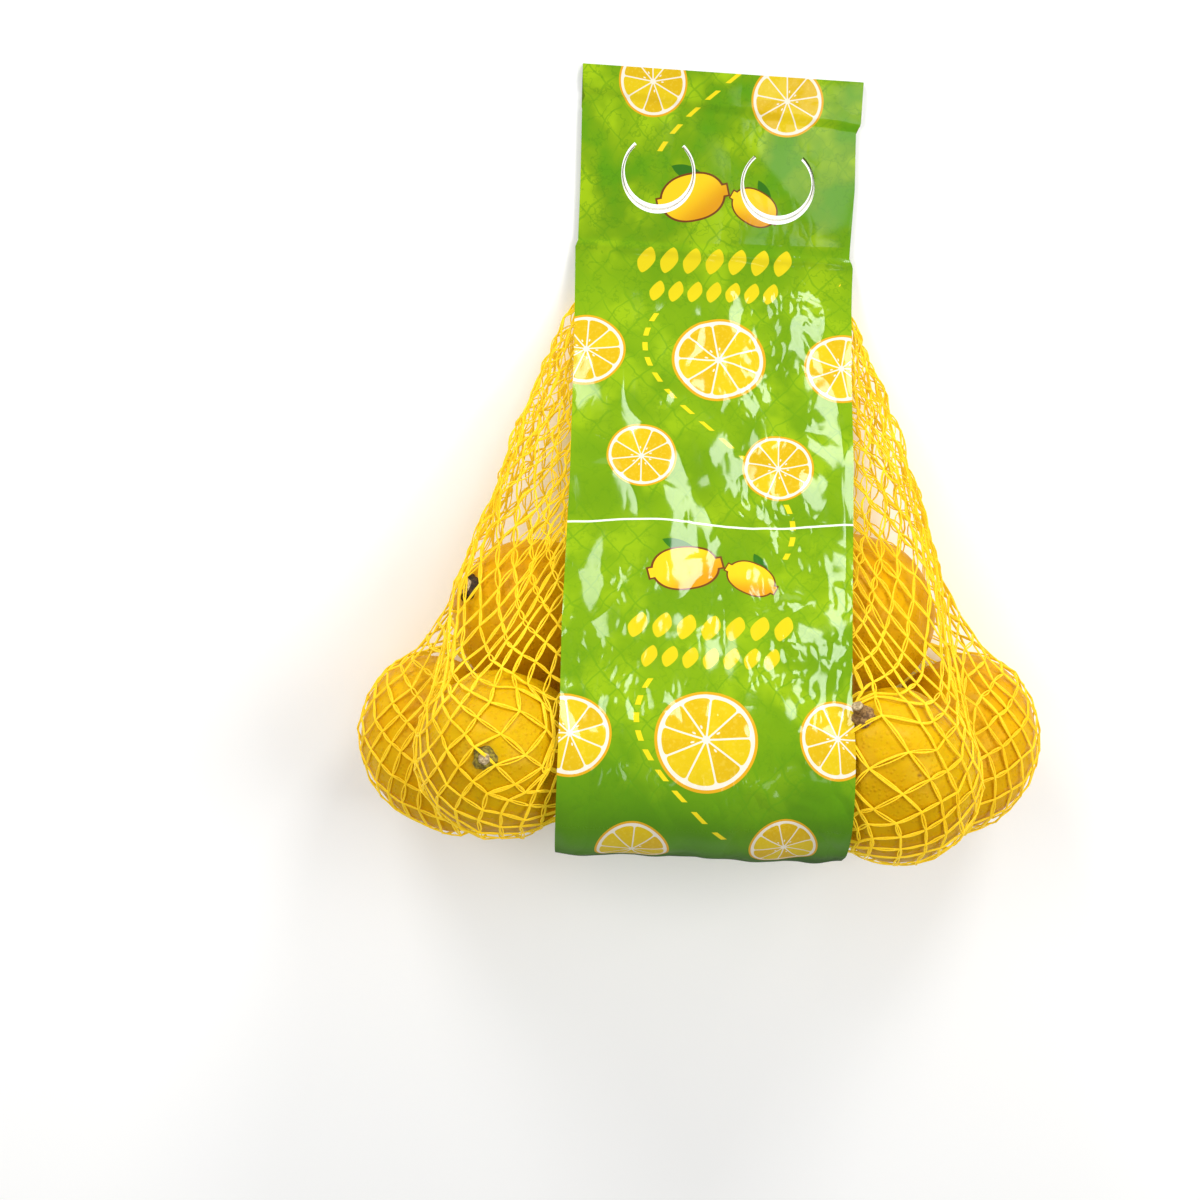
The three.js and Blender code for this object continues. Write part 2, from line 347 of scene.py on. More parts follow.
def peel_material(name, deep, bright, blemishes=()):
    peel = Finish(name, Subsurface_Weight=0.1, Subsurface_Scale=0.004, IOR=1.35,
                  Specular_IOR_Level=0.1, Subsurface_Radius=(1.0, 0.55, 0.08),
                  Coat_Weight=0.04, Coat_Roughness=0.25)
    at = peel.place()
    broad = peel.cloud(at, 38.0, 3.0)
    fine = peel.cloud(at, 240.0, 3.0, 0.6)
    skin = peel.mix(broad.fade(0.36, 0.62), deep, bright)
    skin = peel.mix(fine.fade(0.5, 0.78) * 0.3, skin, "CE9404")
    pores = peel.node("TexVoronoi", {"Vector": at, "Scale": 620.0, "Smoothness": 0.6},
                      "Distance", feature="SMOOTH_F1")
    pits = pores.fade(0.08, 0.46, 1.0, 0.0)
    skin = peel.mix(pits * 0.25, skin, "C08604")
    flecks = peel.cloud(at, 520.0, 2.0, 0.7)
    skin = peel.mix(flecks.fade(0.74, 0.8) * 0.5, skin, "95600C")
    for spot, reach in blemishes:
        away = peel.length(peel.vector("SUBTRACT", at, [float(v) for v in in_frame(spot)]))
        scar = away + flecks * (reach * MM) - fine * (reach * 0.6 * MM)
        skin = peel.mix(scar.fade(reach * 0.9 * MM, reach * 0.25 * MM) * 0.85, skin, "7A4A0E")
    dents = peel.bump(pits, 0.00035, 0.5)
    waves = peel.bump(peel.cloud(at, 150.0, 2.0), 0.0012, 0.35, dents)
    return peel.finish(Base_Color=skin, Roughness=fine.fade(0.3, 0.7, 0.36, 0.48), Normal=waves)


def bark_material(name, dark, light):
    stem = Finish(name, IOR=1.4)
    at = stem.place()
    grain = stem.cloud(at, 900.0, 4.0, 0.65)
    tone = stem.mix(grain.fade(0.35, 0.65), dark, light)
    return stem.finish(Base_Color=tone, Roughness=grain.fade(0.3, 0.7, 0.6, 0.85),
                       Normal=stem.bump(grain, 0.0006, 0.8))


GOLDEN_PEEL = peel_material("waxed_lemon_peel", "D39C02", "DAAA04")
PALE_PEEL = peel_material("pale_lemon_peel", "C79A02", "D1A804", (
    ((71.2, -230.9, 112.7), 1.5), ((69.6, -234.1, 113.8), 1.7), ((73.5, -228.5, 111.2), 0.8),
    ((63.9, -255.7, 110.4), 1.5)))
PALE_LEMONS = ("front_right", "front_left", "front_middle")
BROWN_BARK = bark_material("brown_stem", "5C3F20", "A98350")
OLIVE_BARK = bark_material("olive_stem", "5A4C16", "98882C")
DARK_BARK = bark_material("dark_stem", "1E140A", "4E381C")
CUT_WOOD = bark_material("cut_stem_end", "8A7350", "CDB88E")


def skin_distance(half, radius, angle):
    """From a lemon's centre to its peel, at one angle or many from its stem."""
    body = 1 / np.hypot(np.cos(angle) / half, np.sin(angle) / radius)
    nipple = NIPPLE_HEIGHT * np.exp(-(((math.pi - angle) / NIPPLE_SPREAD) ** 2))
    neck = NECK_HEIGHT * np.exp(-((angle / NECK_SPREAD) ** 2))
    return body + nipple + neck


def turned_body(name, profile, steps):
    """A body spun about Z from (radius, height) pairs; the first and last lie on the axis."""
    deselect()
    bpy.ops.mesh.primitive_plane_add(size=MM)
    piece = bpy.context.object
    piece.name = name
    edit("VERT")
    bpy.ops.mesh.merge(type="CENTER")
    radius, height = profile[0]
    bpy.ops.transform.translate(value=(radius, 0, height))
    for (r0, z0), (r1, z1) in zip(profile, profile[1:]):
        bpy.ops.mesh.extrude_region_move(TRANSFORM_OT_translate={"value": (r1 - r0, 0, z1 - z0)})
    bpy.ops.mesh.select_all(action="SELECT")
    bpy.ops.mesh.spin(steps=steps, angle=2 * math.pi, center=(0, 0, 0), axis=(0, 0, 1))
    bpy.ops.mesh.select_all(action="SELECT")
    bpy.ops.mesh.remove_doubles(threshold=0.02 * MM)
    face_outward()
    return piece


def point_along(piece, way, at):
    """Turns the piece's +Z to a way and moves it to its place."""
    piece.rotation_mode = "QUATERNION"
    piece.rotation_quaternion = Vector(way).to_track_quat("Z", "Y")
    piece.location = Vector(in_frame(at))
    settle(piece)


def rounded_and_lumpy(piece, *lumps):
    """Smooths a piece and displaces it by each sort of lumps."""
    smoothing = piece.modifiers.new("smoothing", "SUBSURF")
    smoothing.levels = smoothing.render_levels = 1
    for name, size, strength, middle in lumps:
        texture = bpy.data.textures.new(name, "CLOUDS")
        texture.noise_scale = size
        texture.noise_depth = 1
        modifier = piece.modifiers.new(name, "DISPLACE")
        modifier.texture = texture
        modifier.texture_coords = "LOCAL"
        modifier.strength = strength
        modifier.mid_level = middle
    apply_modifiers(piece)
    bpy.ops.object.shade_smooth()


def lemon_body(name):
    at, stem, radius, half = LEMONS[name]
    profile = []
    for i in range(LEMON_RINGS + 1):
        angle = math.pi * i / LEMON_RINGS
        reach = float(skin_distance(half, radius, angle)) * MM
        dip = STEM_DIMPLE * math.exp(-((angle / DIMPLE_SPREAD) ** 2)) * MM
        across = 0 if i in (0, LEMON_RINGS) else reach * math.sin(angle)
        profile.append((across, reach * math.cos(angle) - dip))
    lemon = turned_body("lemon_" + name, profile, LEMON_STEPS)
    point_along(lemon, stem, at)
    rounded_and_lumpy(lemon, BROAD_LUMPS, SMALL_LUMPS)
    peel = PALE_PEEL if name in PALE_LEMONS else GOLDEN_PEEL
    hand_over(lemon, peel, "net_of_lemons")


def stem_end(name, calyx, peg, bark):
    """The lobed calyx that a picked lemon keeps, with a short piece of twig on it."""
    at, stem, _, half = LEMONS[name]
    (wide, high), (thin, long) = calyx, peg
    top = high + long
    profile = [(0, -1.5), (wide * 0.9, -1.5), (wide, -0.5), (wide * 0.97, 0.2),
               (wide * 0.82, high * 0.75), (wide * 0.55, high), (thin * 1.2, high + 0.2),
               (thin, high + long * 0.5), (thin * 1.1, top - 0.4), (thin * 0.85, top),
               (0, top - 0.5)]
    end = turned_body("stem_end_" + name, [(r * MM, z * MM) for r, z in profile], STEM_STEPS)
    for vertex in end.data.vertices:
        if math.hypot(vertex.co.x, vertex.co.y) > wide * 0.5 * MM:
            turn = math.atan2(vertex.co.y, vertex.co.x)
            vertex.co.xy *= 1.0 + LOBE_DEPTH * math.cos(LOBES * turn)
    end.data.materials.append(bark)
    end.data.materials.append(CUT_WOOD)
    for face in end.data.polygons:
        face.material_index = int(face.center.z > (top - 0.5) * MM)
    way = np.array(stem) / np.linalg.norm(stem)
    point_along(end, stem, np.array(at) + way * (half + NECK_HEIGHT - 1.3))
    rounded_and_lumpy(end, BARK_LUMPS)
    hand_over(end, None, "net_of_lemons")


for lemon_name in LEMONS:
    lemon_body(lemon_name)
stem_end("front_left", (4.3, 1.4), (1.7, 0.8), OLIVE_BARK)
stem_end("upper_left", (5.1, 1.6), (1.9, 0.6), DARK_BARK)
stem_end("front_right", (4.3, 3.0), (1.9, 4.2), BROWN_BARK)


# ---- outline of the film, as (Y, Z) along its length ----

def length_along(points):
    """The length of a line up to each of its points."""
    steps = np.linalg.norm(np.diff(points, axis=0), axis=1)
    return np.concatenate([[0], np.cumsum(steps)])


def read_off(line, reach, at, **options):
    """Points of a line at some lengths along it, given the length up to each of its own."""
    return np.stack([np.interp(at, reach, values, **options) for values in line.T], 1)


def smooth_line(points, spacing):
    """Evenly spaced points on the smooth curve through a few points."""
    fine = []
    for i in range(len(points) - 1):
        p0, p1 = points[max(i - 1, 0)], points[i]
        p2, p3 = points[i + 1], points[min(i + 2, len(points) - 1)]
        for t in np.linspace(0, 1, 24, endpoint=False):
            fine.append(0.5 * (2 * p1 + (p2 - p0) * t + (2 * p0 - 5 * p1 + 4 * p2 - p3) * t ** 2
                               + (3 * p1 - p0 - 3 * p2 + p3) * t ** 3))
    fine.append(points[-1])
    fine = np.array(fine)
    reach = length_along(fine)
    at = np.linspace(0, reach[-1], int(round(reach[-1] / spacing)) + 1)
    return read_off(fine, reach, at)


INNER_LINE = smooth_line(LABEL_SLOPE, INNER_GRID)
FILM_INSIDE = np.concatenate([[[-SEAM_LENGTH, HEADER_Z]], INNER_LINE, [[-SEAM_LENGTH, FILM]]])
# length down the label where its lower front edge turns under
FRONT_END = HEADER_LENGTH + length_along(INNER_LINE)[INNER_LINE[:, 0].argmin()]


# ---- net ----

def push_out_of_lemons(knots, clearance):
    push = np.zeros_like(knots)
    for at, stem, radius, half in LEMONS.values():
        toward = knots - np.array(at, float)
        length = np.maximum(np.linalg.norm(toward, axis=-1), 1e-9)
        way = np.array(stem, float) / np.linalg.norm(stem)
        angle = np.arccos(np.clip(toward @ way / length, -1, 1))
        depth = np.maximum(skin_distance(half, radius, angle) + clearance - length, 0)
        push += toward * (depth / length)[..., None]
    return knots + push


def keep_inside_label(knots):
    """Holds knots between the label's edges on the inner side of its film."""
    beside = np.maximum(np.abs(knots[..., 0]) - LABEL_WIDTH / 2 - EDGE_MARGIN, 0)
    yz = knots[..., 1:]
    best = np.full(yz.shape[:-1], np.inf)
    signed = np.full(yz.shape[:-1], np.inf)
    inward = np.zeros_like(yz)
    for start, end in zip(FILM_INSIDE, FILM_INSIDE[1:]):
        along = end - start
        length = np.linalg.norm(along)
        along = along / length
        share = np.clip((yz - start) @ along, 0, length)
        away = yz - (start + share[..., None] * along)
        distance = np.linalg.norm(away, axis=-1)
        inner = np.array([-along[1], along[0]])
        nearer = distance < best
        best = np.where(nearer, distance, best)
        signed = np.where(nearer, distance * np.where(away @ inner < 0, -1, 1), signed)
        inward = np.where(nearer[..., None], inner, inward)
    opening = smoothstep(-knots[..., 1], HEADER_LENGTH, HEADER_LENGTH + OPENING_LENGTH)
    short = GAP + FILM_OFF_NET * opening - BESIDE_RISE * beside - signed
    short = np.where(beside > BESIDE_LABEL, 0, np.maximum(short, 0))
    held = knots.copy()
    held[..., 1:] += inward * short[..., None]
    return held


def ring_turns(row):
    """Where a row's knots lie round the net: every other row is half a mesh on."""
    return 2 * math.pi * (np.arange(COLUMNS) + row % 2 / 2) / COLUMNS


def flat_ring(row, y, z, width, thickness):
    turn = ring_turns(row)
    side = np.sign(np.sin(turn)) * np.abs(np.sin(turn)) ** 0.3
    return np.stack([width / 2 * np.cos(turn), np.full(COLUMNS, y), z + thickness / 2 * side], 1)


def on_line(line, y):
    ys, values = zip(*reversed(line))
    return np.interp(y, ys, values)


def wide_ring(row, share):
    y = -HEADER_LENGTH + (GATHER_Y + HEADER_LENGTH) * share
    low = FILM + GAP
    turn = ring_turns(row)
    z = low + (on_line(NET_TOP, y) - low) * (1 + np.sin(turn)) / 2
    return np.stack([on_line(NET_OUTLINE, y) * np.cos(turn), np.full(COLUMNS, y), z], 1)


def net_knots():
    rings = []
    for row in range(HEADER_ROWS + 1):
        start = -SEAM_LENGTH - GAP
        y = start + (-HEADER_LENGTH - start) * row / HEADER_ROWS
        rings.append(flat_ring(row, y, FILM + GAP + NET_SHEET / 2, NET_HEADER_WIDTH, NET_SHEET))
    for row in range(1, BODY_ROWS):
        rings.append(wide_ring(HEADER_ROWS + row, row / BODY_ROWS))
    rings.append(flat_ring(HEADER_ROWS + BODY_ROWS, GATHER_Y, GATHER_Z, GATHER_WIDTH,
                           GATHER_THICKNESS))
    return np.array(rings)


def neighbours(knots, rows):
    """The four knots that each knot of some rows is tied to."""
    even = (rows % 2 == 0)[:, None, None]
    ends = []
    for other in (knots[rows - 1], knots[rows + 1]):
        back, on = np.roll(other, 1, axis=1), np.roll(other, -1, axis=1)
        ends.append(np.where(even, back, other))
        ends.append(np.where(even, other, on))
    return ends


def pulled(knots, rows, even, longest, shortest=0.0):
    """Where the knots of some rows go as their bars even out, draw in and spring back."""
    free = knots[rows]
    moved = free.copy()
    for end in neighbours(knots, rows):
        strand = end - free
        length = lengths(strand)
        excess = np.maximum(length - longest, 0)
        short = np.maximum(shortest - length, 0)
        moved += strand * (even + (BAR_RATE * excess - SPRING_RATE * short) / length)
    return moved


def kept_clear(knots):
    """Keeps knots out of the lemons, inside the label and off the floor."""
    knots = push_out_of_lemons(knots, YARN_OVER_SKIN)
    knots = keep_inside_label(knots)
    knots[..., 2] = np.maximum(knots[..., 2], GAP + YARN_RADIUS)
    return knots


def relaxed_net():
    """Lets every free knot settle between its neighbours, outside the lemons."""
    knots = net_knots()
    rows = np.arange(HEADER_ROWS + 1, len(knots) - 1)
    draw = smoothstep((rows - HEADER_ROWS) / BODY_ROWS, DRAW_FROM, DRAW_TO)[:, None, None]
    for _ in range(RELAX_STEPS):
        moved = pulled(knots, rows, RELAX_RATE / 4, BAR)
        inward = knots[rows].mean(axis=1, keepdims=True) - moved
        inward[..., 1] = 0
        inward /= lengths(inward)
        knots[rows] = kept_clear(moved + inward * DRAW_IN * draw)
    return knots


def net_material():
    # The yarn glows faintly yellow: painted light that lifts the net's shaded side, standing in
    # for light passing through the yarn.
    yarn = Finish("knitted_plastic_yarn", IOR=1.4, Specular_IOR_Level=0.1,
                  Emission_Color=colour("F2DE30"), Emission_Strength=0.3)
    at = yarn.place()
    tone = yarn.cloud(at, 70.0, 2.0)
    streak = yarn.cloud(at, 1400.0, 2.0)
    body = yarn.mix(tone.fade(0.35, 0.65), "E0AE0E", "E8BC20")
    body = yarn.mix(streak.fade(0.5, 0.75) * 0.35, body, "F2DE60")
    return yarn.finish(Base_Color=body, Roughness=streak.fade(0.3, 0.7, 0.35, 0.55),
                       Normal=yarn.bump(streak, 0.0001, 0.4))


def evened(knots, top):
    """The same surface with its knots at the real count, sharing out its length evenly.

    Column top is the one at the top middle, and comes out as column 0."""
    columns = knots.shape[1]
    fine = np.arange(4 * columns) / 4
    body = np.array([
        share_out(read_off(ring, np.arange(columns), fine + top - row % 2 / 2, period=columns))
        for row, ring in enumerate(knots)])
    header, slope = body[:HEADER_ROWS], body[HEADER_ROWS:]
    reach = np.concatenate([np.zeros((1, slope.shape[1])), np.cumsum(stretches(slope), axis=0)])
    wanted = np.linspace(0, 1, MESH_ROWS + 1)
    filled = np.stack([read_off(slope[:, i], reach[:, i], wanted * reach[-1, i])
                       for i in range(slope.shape[1])], 1)
    every = np.concatenate([header, filled])
    return np.array([ring[row % 2::2] for row, ring in enumerate(every)])


def closeness(knots):
    """How closely the meshes lie: over the lower lemons they are drawn together."""
    low = smoothstep(-knots[..., 1], *TIGHTER_DOWN)
    return 1 + low * (TOP_TIGHTER * smoothstep(knots[..., 2], *TIGHTER_UP)
                      + SIDE_TIGHTER * smoothstep(np.abs(knots[..., 0]), *TIGHTER_OUT))


def stretches(knots):
    """Lengths from knot to knot along the first axis, longer where the meshes lie closely."""
    middle = (knots[1:] + knots[:-1]) / 2
    return np.linalg.norm(np.diff(knots, axis=0), axis=-1) * closeness(middle)


def share_out(ring):
    """Twice MESH_COLUMNS spots round a ring that starts at its top middle."""
    fine = len(ring)
    spots = []
    for start in (0, fine // 2):
        index = np.arange(start, start + fine // 2 + 1) % fine
        half = ring[index]
        reach = np.concatenate([[0], np.cumsum(stretches(half))])
        at = np.linspace(0, reach[-1], MESH_COLUMNS, endpoint=False)
        spots.append(read_off(half, reach, at))
    return np.concatenate(spots)


def slackness(y):
    """Where the net hangs loose between the header and the upper lemons."""
    return smoothstep(-y, *SLACK_STARTS) * (1 - smoothstep(-y, *SLACK_ENDS))


def knitted_net():
    """The net's knots at their real count, settled over the lemons once more."""
    knots = evened(relaxed_net(), COLUMNS // 4)
    for _ in range(EVENINGS):
        knots = push_out_of_lemons(knots, YARN_OVER_SKIN)
        knots = evened(keep_inside_label(knots), 0)
    rows = np.arange(HEADER_ROWS + 1, len(knots) - 1)
    rng = np.random.RandomState(4)
    for step in range(SETTLE_STEPS):
        moved = pulled(knots, rows, 0, MESH_BAR, SHORT_BAR)
        if step == JOLT_STEP:
            jolt = JOLT + JOLT_IF_SLACK * slackness(knots[rows][..., 1:2])
            moved += rng.uniform(-1, 1, moved.shape) * jolt
        knots[rows] = kept_clear(moved)
    knots[..., 0] *= 1 + DRAWN_TAUT * slackness(knots[..., 1])
    return knots


def in_slit(point):
    for x, y in SLIT_CENTRES:
        out = math.hypot(point[0] - x, point[1] - y)
        turn = math.atan2(point[1] - y, point[0] - x) - math.pi / 2
        turn = abs((turn + math.pi) % (2 * math.pi) - math.pi)
        if turn > SLIT_OPENING / 2 and abs(out - SLIT_RADIUS) < SLIT_WIDTH / 2 + YARN_RADIUS:
            return True
    return False


def outward_ways(knots):
    across = np.roll(knots, -1, axis=1) - np.roll(knots, 1, axis=1)
    down = np.empty_like(knots)
    down[1:-1] = knots[2:] - knots[:-2]
    down[0], down[-1] = down[1], down[-2]
    outward = unit(np.cross(down, across))
    away = ((knots - knots.mean(axis=1, keepdims=True)) * outward).sum(axis=(1, 2))
    return outward * np.where(away < 0, -1, 1)[:, None, None]


def yarn_lines(knots, outward, hand, side, play, rng):
    """Centrelines of one filament of every bar that leans right (1) or left (-1)."""
    rows = len(knots)
    steps = np.arange(rows - 1) % 2 - (hand < 0)
    shift = np.concatenate([[0], np.cumsum(steps)])
    column = (np.arange(MESH_COLUMNS)[:, None] + shift[None, :]) % MESH_COLUMNS
    row = np.arange(rows)[None, :]
    path, ways = knots[row, column], outward[row, column]
    share = (np.arange(POINTS_PER_BAR) / POINTS_PER_BAR)[None, None, :, None]
    bars = path[:, :-1, None], path[:, 1:, None]
    spot = bars[0] * (1 - share) + bars[1] * share
    way = ways[:, :-1, None] * (1 - share) + ways[:, 1:, None] * share
    lateral = unit(np.cross(way, bars[1] - bars[0]))
    bow = np.sin(math.pi * share)
    shape = spot.shape[:2] + (1, 1)
    gap = YARN_PAIR_SPREAD * rng.uniform(*YARN_PAIR_VARIES, shape) * bow ** 0.6
    gap += YARN_PAIR_AT_KNOT
    slack = slackness(spot[..., 1:2])
    sag = rng.uniform(-1, 1, shape) * bow * (play + SLACK_SAG * slack)
    weave = YARN_WEAVE * hand * np.cos(math.pi * (np.arange(rows - 1)[None, :, None, None]
                                                  + share))
    loose = rng.uniform(-1, 1, shape) * bow * slack
    spot = spot + lateral * (side * gap + sag) + way * (weave + loose)
    lines = spot.reshape(MESH_COLUMNS, -1, 3)
    return np.concatenate([lines, path[:, -1:]], axis=1)


def add_yarn(curve, line):
    """One filament, parted where it would cross a carrying slit."""
    stretch = []
    for spot in [*line, None]:
        if spot is not None and not (spot[1] > -HEADER_LENGTH and in_slit(spot)):
            stretch.append(spot)
            continue
        if len(stretch) > 1:
            spline = curve.splines.new("POLY")
            spline.points.add(len(stretch) - 1)
            placed = np.ones((len(stretch), 4))
            placed[:, :3] = in_frame(stretch)
            spline.points.foreach_set("co", placed.ravel())
            spline.use_smooth = True
        stretch = []


def yarn_piece(name, lines, material):
    curve = bpy.data.curves.new("yarn", "CURVE")
    curve.dimensions = "3D"
    curve.bevel_depth = YARN_RADIUS * MM
    curve.bevel_resolution = 0
    curve.resolution_u = 1
    curve.use_fill_caps = True
    for line in lines:
        add_yarn(curve, line)
    pick(add_object(name, curve))
    bpy.ops.object.convert(target="MESH")
    hand_over(bpy.context.object, material, "net_of_lemons")


def make_net():
    knots = knitted_net()
    outward = outward_ways(knots)
    material = net_material()
    rng = np.random.RandomState(12)
    free = POINTS_PER_BAR * (HEADER_ROWS + 1)
    for hand, lean in ((1, "right"), (-1, "left")):
        for edge, side, play in FILAMENTS:
            lines = yarn_lines(knots, outward, hand, side, play, rng)
            body = push_out_of_lemons(lines[:, free:], YARN_OVER_SKIN - YARN_WEAVE)
            body[..., 2] = np.maximum(body[..., 2], YARN_RADIUS + 0.05)
            lines = np.concatenate([lines[:, :free], body], axis=1)
            yarn_piece(f"net_yarn_{lean}_{edge}", lines, material)


make_net()


# ---- film label ----

# how far the film's edges wander off their straight lines, along its length
LEFT_EDGE = [(0, 0), (9.5, 0.5), (11.5, 1.3), (13.5, 0.2), (40, 0.4), (62, 0.2), (64.5, -0.7),
             (100, 0.1), (160, 0.5), (215, -0.3), (250, 0.3), (300, 0)]
RIGHT_EDGE = [(0, 0.9), (16, 0.6), (17.5, -1.0), (40, -0.4), (66, -1.2), (69, 0.2), (110, -0.6),
              (150, -0.4), (180, -1.2), (222, -2.5), (240, -3.2), (262, -2.6), (300, -2.8)]
FOLDS_DIE_OUT = 25.0             # length behind the lower front edge over which they do
BACK_SHOWS = 1.1                 # how far the back sheet shows beside the seam's right end
# where the film is crumpled: (spots, range of x, range down the label, greatest height)
CRUMPLES = [
    (30, (-50, 12), (100, 300), 2.2),
    (64, (12, 50), (98, 285), 1.5),
    (34, (-34, 26), (70, 104), 0.9),
    (26, (-34, 30), (196, 236), 1.3),
    (16, (-48, 48), (2, 62), 0.35),
]
EDGE_CRUMPLE = 1.1
# long soft pleats: (height, size across, size along, which of the noise's layers)
PLEATS = [(1.3, 12, 52, 3.1), (1.2, 26, 30, 8.4)]
RIDGES, RIDGE_WIDTH = 66, 1.6
RIDGE_HEIGHTS, RIDGE_HALF_LENGTHS = (0.2, 0.65), (3, 11)
RIDGE_TURNS = [1.5, 0.3, 2.5, 1.2]
# the cross fold below the header and the lower edge of the seam, each slanting across
FOLD_AT, FOLD_SLANT, FOLD_HEIGHT, FOLD_WIDTH = 65.5, 2.4, 0.8, 2.2
SEAM_AT, SEAM_SLANT = 13.2, 3.8


def film_path():
    """Centre of the film as rows of (Y, Z), its way out and the length from the top edge."""
    slope = smooth_line(LABEL_SLOPE, FILM_GRID)
    header = np.arange(0, HEADER_LENGTH, FILM_GRID)
    front = np.stack([-header, np.full(len(header), HEADER_Z)], 1)
    back_y = np.arange(slope[-1, 0] + FILM_BACK_GRID, 0.0, FILM_BACK_GRID)
    back = np.stack([back_y, np.full(len(back_y), FILM)], 1)
    path = np.concatenate([front, slope, back, [[0.0, FILM]]])
    before, after = np.roll(path, 1, axis=0), np.roll(path, -1, axis=0)
    before[0], after[-1] = path[0], path[-1]
    along = (after - before) / lengths(after - before)
    outward = np.stack([along[:, 1], -along[:, 0]], 1)
    reach = length_along(path)
    off = np.where(np.arange(len(path)) < len(front) + len(slope) - FLAT_STEPS, FILM / 2,
                   FILM - FILM_ON_FLOOR)
    return path + outward * off[:, None], outward, reach


def crumple_spots():
    """Spots where the film is dented or pushed out: (x, length, height)."""
    rng = random.Random(11)
    spots = []
    for count, x_range, s_range, height in CRUMPLES:
        for _ in range(count):
            spots.append((rng.uniform(*x_range), rng.uniform(*s_range), rng.uniform(0, height)))
    for side in (-1, 1):
        s = 70.0
        while s < FRONT_END:
            spots.append((side * (LABEL_WIDTH / 2 + 0.5), s, rng.uniform(0, EDGE_CRUMPLE)))
            s += rng.uniform(7, 15)
    corners = [(x, s, 0.2) for x in (-56, 56) for s in (-8, 55, FRONT_END + 60, 800)]
    return spots + corners


def facets(x, s):
    """Height of the flat facets that the film folds into between those spots."""
    spots = crumple_spots()
    flat = [Vector((px, ps)) for px, ps, _ in spots]
    found, _, triangles, sources = delaunay_2d_cdt(flat, [], [], 0, 0.5)[:4]
    height = [spots[source[0]][2] for source in sources]
    relief = np.zeros_like(x)
    for corners in triangles:
        (ax, ay), (bx, by), (cx, cy) = (found[i] for i in corners)
        area = (bx - ax) * (cy - ay) - (cx - ax) * (by - ay)
        b = ((x - ax) * (cy - ay) - (cx - ax) * (s - ay)) / area
        c = ((bx - ax) * (s - ay) - (x - ax) * (by - ay)) / area
        inside = (b >= -1e-6) & (c >= -1e-6) & (b + c <= 1 + 1e-6)
        plane = height[corners[0]] * (1 - b - c) + height[corners[1]] * b + height[corners[2]] * c
        relief = np.where(inside, plane, relief)
    return relief


def softened(relief, times):
    for _ in range(times):
        for axis in (0, 1):
            padded = np.pad(relief, [(1, 1) if i == axis else (0, 0) for i in (0, 1)], "edge")
            near = [padded.take(range(i, i + relief.shape[axis]), axis) for i in (0, 1, 2)]
            relief = (near[0] + 2 * near[1] + near[2]) / 4
    return relief


def film_relief(x, s):
    """How far the film stands out of its smooth line, over a grid of points."""
    relief = softened(facets(x, s), 2)
    pleats = np.empty_like(x)
    for index, (px, ps) in enumerate(zip(x.ravel(), s.ravel())):
        pleats.flat[index] = sum(height * noise.noise((px / wide, ps / long, layer))
                                 for height, wide, long, layer in PLEATS)
    relief += np.maximum(pleats + 0.7, 0) * smoothstep(s, 60, 110)
    rng = random.Random(3)
    for _ in range(RIDGES):
        cx, cs = rng.triangular(-48, 50, 34), rng.uniform(74, 285)
        turn = rng.choice(RIDGE_TURNS) + rng.gauss(0, 0.3)
        half = rng.uniform(*RIDGE_HALF_LENGTHS)
        along = (x - cx) * math.cos(turn) + (s - cs) * math.sin(turn)
        away = (s - cs) * math.cos(turn) - (x - cx) * math.sin(turn)
        relief += rng.uniform(*RIDGE_HEIGHTS) * tent(away, RIDGE_WIDTH) * tent(along, half)
    fold = FOLD_AT + FOLD_SLANT * x / (LABEL_WIDTH / 2)
    relief += FOLD_HEIGHT * tent(s - fold, FOLD_WIDTH)
    return relief


def film_points():
    """The film's points, row by row, and the place of each in the UV square."""
    path, outward, reach = film_path()
    across = np.linspace(-LABEL_WIDTH / 2, LABEL_WIDTH / 2, FILM_COLUMNS + 1)
    x, s = np.meshgrid(across, reach)
    last = reach[-1]
    front = 1 - smoothstep(s, FRONT_END, FRONT_END + FOLDS_DIE_OUT)
    relief = film_relief(x, s) * front
    share = x / (LABEL_WIDTH / 2)
    seam_end = SEAM_AT + SEAM_SLANT * share
    relief += SEAM_RELIEF * (1 - smoothstep(s, seam_end - 0.9, seam_end + 0.4))
    y = path[:, 0][:, None] + outward[:, 0][:, None] * relief
    z = path[:, 1][:, None] + outward[:, 1][:, None] * relief
    edge = np.where(share < 0, np.interp(s, *zip(*LEFT_EDGE)), np.interp(s, *zip(*RIGHT_EDGE)))
    x_placed = x + edge * np.abs(share) ** 3 * front
    # at the seam the back sheet shows on the right, and below that it is tucked in
    behind = smoothstep(s, last - 20, last - SEAM_LENGTH) * np.maximum(share, 0) ** 6
    tucked = smoothstep(s, last - 110, last - 90) * (1 - smoothstep(s, last - 19, last - 15))
    x_placed += BACK_SHOWS * (behind - share ** 3 * tucked)
    y += TOP_SLANT * -share * (1 - smoothstep(s, 0, SLANT_LENGTH)) * front
    y += TOP_SLANT * -share * smoothstep(s, last - SLANT_LENGTH, last)
    uv = np.stack([(x + LABEL_WIDTH / 2) / UV_SPAN, s / UV_SPAN], -1)
    return np.stack([x_placed, y, z], -1), uv.reshape(-1, 2)


def join_ends(film, rows):
    """Bridges the grid's first row of edges to its last, at the header's top."""
    edit("EDGE", "DESELECT")
    bpy.ops.object.mode_set(mode="OBJECT")
    row = FILM_COLUMNS + 1
    ends = set(range(row)), set(range((rows - 1) * row, rows * row))
    for line in film.data.edges:
        line.select = any(end.issuperset(line.vertices) for end in ends)
    bpy.ops.object.mode_set(mode="EDIT")
    bpy.ops.mesh.bridge_edge_loops()
    face_outward()


